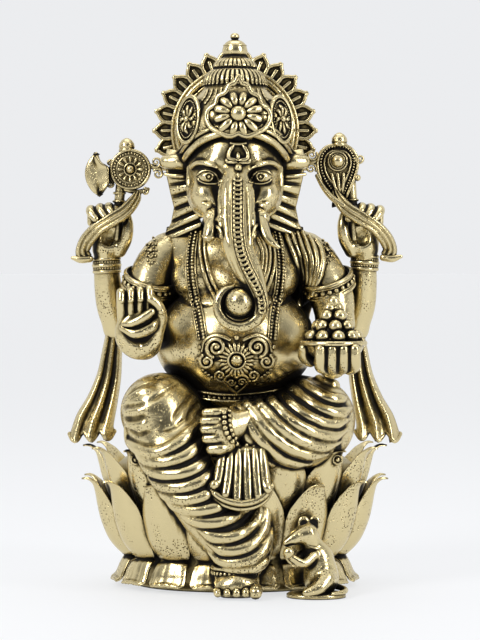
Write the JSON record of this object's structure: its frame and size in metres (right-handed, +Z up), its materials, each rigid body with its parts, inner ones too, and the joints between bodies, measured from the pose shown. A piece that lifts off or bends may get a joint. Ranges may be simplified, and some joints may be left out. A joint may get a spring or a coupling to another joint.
{
  "type": "ganesha idol",
  "caption": "Cast brass devotional idol: a four-armed elephant-headed deity seated on a lotus, with a ringed halo, a bowl of sweets, an axe, a noose and a mouse.",
  "frame": {"origin": "middle of the object's outline on the ground; the lotus base's own middle is 0.9 mm to the idol's right of it and 4.8 mm behind it", "axes": "+X to the idol's own left, -Y the way it faces, +Z up"},
  "size_m": [0.1471, 0.1119, 0.24],
  "materials": {
    "polished_brass": "hand-polished cast brass, bright on its high places, with dark patina left in its recesses",
    "chased_brass": "chased ornament in cast brass, with dark patina between its beads and leaves",
    "antique_brass": "as-cast brass, dull and pitted, with an antique patina"
  },
  "bodies": {
    "root": {"lotus_core": "antique_brass", "foot_petals": "chased_brass", "outer_petals": "polished_brass", "inner_petals": "polished_brass", "seed_pod": "antique_brass", "seat_drape": "chased_brass", "hanging_leg": "polished_brass", "folded_leg": "polished_brass", "front_pleats": "polished_brass", "standing_foot": "polished_brass", "folded_foot": "polished_brass", "anklets": "chased_brass", "waist_belt": "chased_brass", "torso": "polished_brass", "long_necklace": "chased_brass", "inner_necklace": "chased_brass", "pendant": "chased_brass", "shoulder_sash": "polished_brass", "front_right_arm": "polished_brass", "front_left_arm": "polished_brass", "rear_right_arm": "polished_brass", "rear_left_arm": "polished_brass", "armlets": "chased_brass", "wrist_bangles": "chased_brass", "blessing_hand": "polished_brass", "bowl_hand": "polished_brass", "axe_hand": "polished_brass", "noose_hand": "polished_brass", "held_tusk": "chased_brass", "axe_head": "chased_brass", "axe_disc": "chased_brass", "axe_shaft": "chased_brass", "axe_ribbon": "chased_brass", "noose_drop": "chased_brass", "noose_shaft": "chased_brass", "noose_ribbon": "chased_brass", "sweet_bowl": "polished_brass", "bowl_sweets": "chased_brass", "head": "polished_brass", "trunk": "polished_brass", "trunk_chain": "chased_brass", "trunk_sweet": "polished_brass", "broken_tusk": "polished_brass", "whole_tusk": "polished_brass", "right_ear": "polished_brass", "left_ear": "polished_brass", "eyes": "polished_brass", "forehead_mark": "chased_brass", "crown_band": "chased_brass", "crown_dome": "chased_brass", "crown_tiers": "chased_brass", "crown_finial": "chased_brass", "crown_flower": "chased_brass", "crown_side_plates": "chased_brass", "halo_disc": "antique_brass", "halo_ring": "chased_brass", "halo_petals": "chased_brass", "right_scarf_end": "chased_brass", "left_scarf_end": "chased_brass", "mouse": "polished_brass"}
  },
  "joints": []
}
